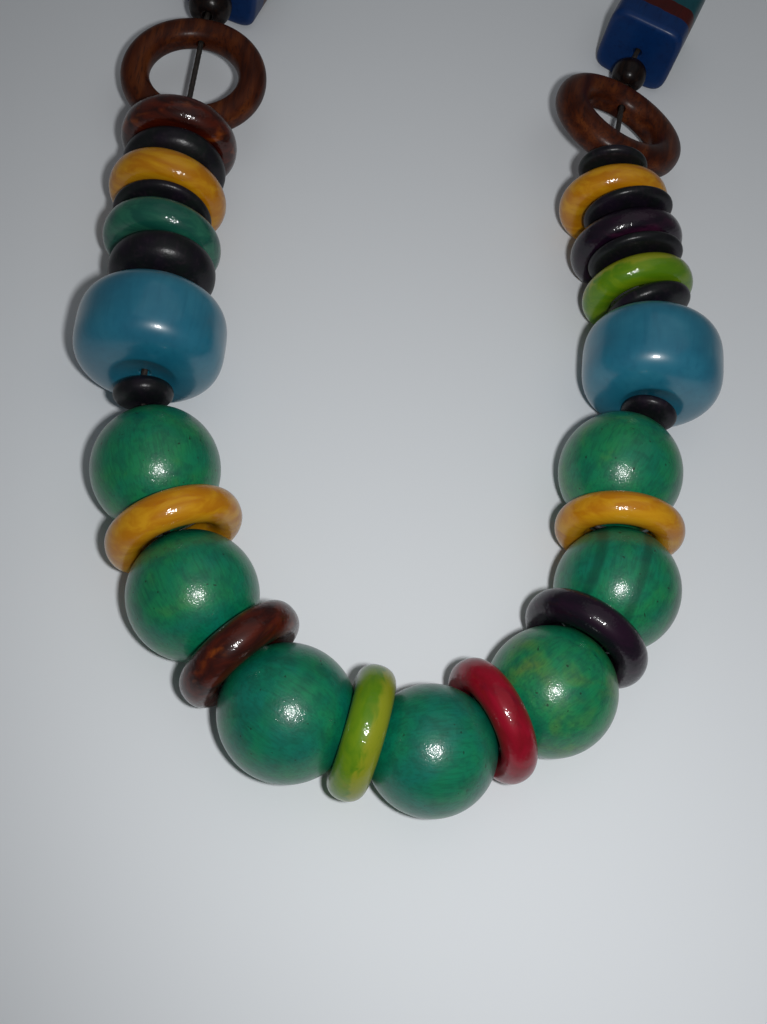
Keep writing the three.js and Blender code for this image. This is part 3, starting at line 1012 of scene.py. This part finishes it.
# %% Cord and clasp
waxed = Finish("waxed_cord", roughness=0.62, coat=0.15, coat_roughness=0.4)
fibres = waxed.clouds(0.25, stretch=(1, 6, 1), detail=3)
thread = waxed.over(waxed.step(fibres, 0.35, 0.75), (0.008, 0.006, 0.005), (0.040, 0.030, 0.024))
twist = waxed.bump(fibres, 0.05)
finishes["waxed_cord"] = waxed.done(thread, twist, twist)

metal = Finish("clasp_black", roughness=0.35, coat=0.2, coat_roughness=0.3)
metal.shader.inputs["Metallic"].default_value = 0.9
turning = metal.clouds(0.3, stretch=(20, 1, 20), detail=3)
steel = metal.over(metal.step(turning, 0.3, 0.7), (0.035, 0.034, 0.036), (0.070, 0.068, 0.070))
marks = metal.bump(turning, 0.01)
finishes["clasp_black"] = metal.done(steel, marks, marks)
print("finishes:", len(finishes))

# %% [markdown]
# Each piece takes the finish of its kind, rides with the one body and stands for its CAD
# node. The slots are the part's own names for its finishes. A piece's kind is the longest
# one that its name starts with.

# %% Finish every piece
slot_of = {
    "ball": "green_wood", "barrel": "blue_lacquer", "disc": "dark_wood", "hoop": "hoop_wood",
    "spacer_left_front": "dark_wood", "spacer_right_front": "dark_wood",
    "spacer": "black_brown_wood", "block": "banded_block", "cord": "waxed_cord",
    "clasp": "clasp_black", "ring_yellow": "yellow_ring", "ring_brown": "brown_ring",
    "ring_green": "sea_green_ring", "ring_lime": "lime_ring", "ring_red": "crimson_ring",
    "ring_purple": "purple_ring",
}
for name, piece in pieces.items():
    kind = max((kind for kind in slot_of if name.startswith(kind)), key=len)
    piece.data.materials.clear()
    piece.data.materials.append(finishes[slot_of[kind]])
    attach(piece, "root")
    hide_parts(name)
triangle_count = sum(
    len(polygon.vertices) - 2 for piece in pieces.values() for polygon in piece.data.polygons
)
print("pieces:", len(pieces), "triangles:", triangle_count)

# %% [markdown]
# The necklace lies on a plain pale table, one big square whose top is at height 0. It only
# shows the object off, so it is a piece of the stage and not of the part.

# %% Table
half = 2.0
table_mesh = bpy.data.meshes.new("table")
corners = [(-half, -half, 0), (half, -half, 0), (half, half, 0), (-half, half, 0)]
table_mesh.from_pydata(corners, [], [(0, 1, 2, 3)])
table = bpy.data.objects.new("table", table_mesh)
bpy.context.scene.collection.objects.link(table)
plain = bpy.data.materials.new("table_pale")
plain.use_nodes = True
surface = plain.node_tree.nodes["Principled BSDF"]
surface.inputs["Base Color"].default_value = (0.74, 0.77, 0.80, 1)
surface.inputs["Roughness"].default_value = 0.7
table_mesh.materials.append(plain)
print("table:", 2 * half, "m square")

# %% [markdown]
# One lamp stands close to the camera, a little to its right, so the light falls off
# towards the back and each ball gleams near its middle. It is small, so the shadows that
# show beside the beads are narrow. A wide panel overhead and a pale room fill the shadows.
# A sun lamp would light the whole table evenly and lose that falling off.

# %% Light
lamp_right = 27.0


def lamp(title, kind, place, target, power, **settings):
    """A lamp of a kind, spot or area, at a place in metres, facing a target."""
    data = bpy.data.lights.new(title, kind)
    data.energy = power
    for key, value in settings.items():
        setattr(data, key, value)
    light = bpy.data.objects.new(title, data)
    light.location = place
    light.rotation_euler = (Vector(target) - Vector(place)).to_track_quat("-Z", "Y").to_euler()
    bpy.context.scene.collection.objects.link(light)


key_place = Vector(camera_place * mm) + camera_right * lamp_right * mm
key_aim = (0.065, -0.08, 0)
lamp("key", "SPOT", key_place, key_aim, 1.85, spot_size=math.radians(110), spot_blend=1.0,
     shadow_soft_size=0.008)
lamp("overhead", "AREA", (0.1, 0.2, 0.9), (0, 0, 0), 0.7, size=1.0)
world = bpy.data.worlds.new("room")
world.use_nodes = True
room_light = world.node_tree.nodes["Background"]
room_light.inputs["Color"].default_value = (0.9, 0.92, 0.95, 1)
room_light.inputs["Strength"].default_value = 0.11
bpy.context.scene.world = world
bpy.context.scene.view_settings.view_transform = "Standard"
print("lamps:", len(bpy.data.lights))
